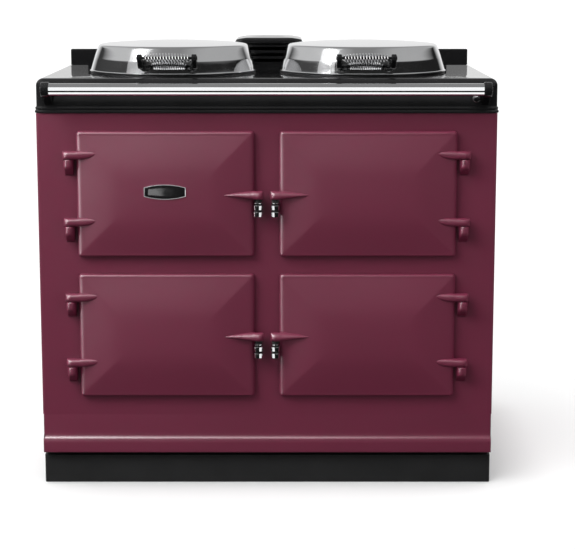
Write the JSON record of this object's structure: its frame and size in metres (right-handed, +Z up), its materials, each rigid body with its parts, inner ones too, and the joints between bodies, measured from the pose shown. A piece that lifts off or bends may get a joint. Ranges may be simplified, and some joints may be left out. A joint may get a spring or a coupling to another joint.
{
  "type": "range cooker",
  "caption": "Free-standing cast iron range cooker with hinged cast oven doors, lidded hotplates, towel rail, vent cowl and plinth.",
  "frame": {"origin": "on the floor, in the middle of the footprint", "axes": "+X to the right as seen from the front, +Y to the back, +Z up; the doors face -Y"},
  "size_m": [0.995, 0.701, 0.9642],
  "materials": {
    "burgundy_enamel": "gloss vitreous enamel on cast iron",
    "black_enamel": "gloss vitreous enamel on cast iron",
    "satin_black": "satin black paint",
    "chrome": "polished chrome plate",
    "steel": "plain steel",
    "zinc_sheet": "zinc coated sheet",
    "cast_iron": "bare machined or blacked cast iron",
    "rope": "woven glass rope",
    "wool": "mineral wool",
    "black_plastic": "matt"
  },
  "bodies": {
    "cooker": {"plinth": "satin_black", "levelling_feet": "steel", "base_plate": "satin_black", "skirt": "burgundy_enamel", "front_panel": "burgundy_enamel", "side_panels": "burgundy_enamel", "back_panel": "zinc_sheet", "top_plate": "black_enamel", "rear_ledge": "black_enamel", "vent_cowl": "black_enamel", "vent_cap": "black_enamel", "flue_duct": "zinc_sheet", "insulation": "wool", "hotplates": "cast_iron", "heating_elements": "steel", "roasting_oven": "cast_iron", "baking_oven": "cast_iron", "simmering_oven": "cast_iron", "oven_shelves": "steel", "control_box": "zinc_sheet", "control_panel": "satin_black", "hinge_brackets": "burgundy_enamel", "hinge_pins": "steel", "latch_catches": "satin_black", "towel_rail": "chrome", "rail_brackets": "black_enamel", "apron_stud": "chrome", "cable_gland": "satin_black", "lid_brackets": "black_enamel", "lid_pins": "steel"},
    "door_top_left": {"door_top_left": "burgundy_enamel", "liner_top_left": "steel", "seal_top_left": "rope", "handle_top_left": "chrome", "badge_rim": "chrome", "badge_plate": "black_enamel"},
    "door_top_right": {"door_top_right": "burgundy_enamel", "liner_top_right": "steel", "seal_top_right": "rope", "handle_top_right": "chrome"},
    "door_low_left": {"door_low_left": "burgundy_enamel", "liner_low_left": "steel", "seal_low_left": "rope", "handle_low_left": "chrome"},
    "door_low_right": {"door_low_right": "burgundy_enamel", "liner_low_right": "steel", "seal_low_right": "rope", "handle_low_right": "chrome"},
    "lid_left": {"lid_left": "chrome", "lid_liner_left": "steel", "lid_arm_left": "black_enamel", "grip_bar_left": "black_enamel", "grip_coil_left": "chrome"},
    "knob_left": {"knob_left": "black_plastic"},
    "lid_right": {"lid_right": "chrome", "lid_liner_right": "steel", "lid_arm_right": "black_enamel", "grip_bar_right": "black_enamel", "grip_coil_right": "chrome"},
    "knob_right": {"knob_right": "black_plastic"}
  },
  "joints": [
    {"name": "door_top_left_hinge", "type": "hinge", "parent": "cooker", "child": "door_top_left", "pos_m": [-0.424, -0.3055, 0.64445], "axis": [0, 0, -1], "range_deg": [0, 165]},
    {"name": "door_top_right_hinge", "type": "hinge", "parent": "cooker", "child": "door_top_right", "pos_m": [0.424, -0.3055, 0.64445], "axis": [0, 0, 1], "range_deg": [0, 165]},
    {"name": "door_low_left_hinge", "type": "hinge", "parent": "cooker", "child": "door_low_left", "pos_m": [-0.424, -0.3055, 0.33465], "axis": [0, 0, -1], "range_deg": [0, 165]},
    {"name": "door_low_right_hinge", "type": "hinge", "parent": "cooker", "child": "door_low_right", "pos_m": [0.424, -0.3055, 0.33465], "axis": [0, 0, 1], "range_deg": [0, 165]},
    {"name": "lid_left_hinge", "type": "hinge", "parent": "cooker", "child": "lid_left", "pos_m": [-0.2138, 0.1615, 0.918], "axis": [-1, 0, 0], "range_deg": [0, 95]},
    {"name": "lid_right_hinge", "type": "hinge", "parent": "cooker", "child": "lid_right", "pos_m": [0.2138, 0.1615, 0.918], "axis": [-1, 0, 0], "range_deg": [0, 95]},
    {"name": "knob_left_turn", "type": "hinge", "parent": "cooker", "child": "knob_left", "pos_m": [-0.2822, -0.2295, 0.63645], "axis": [0, 1, 0], "range_deg": [0, 270]},
    {"name": "knob_right_turn", "type": "hinge", "parent": "cooker", "child": "knob_right", "pos_m": [-0.1522, -0.2295, 0.63645], "axis": [0, 1, 0], "range_deg": [0, 270]}
  ]
}
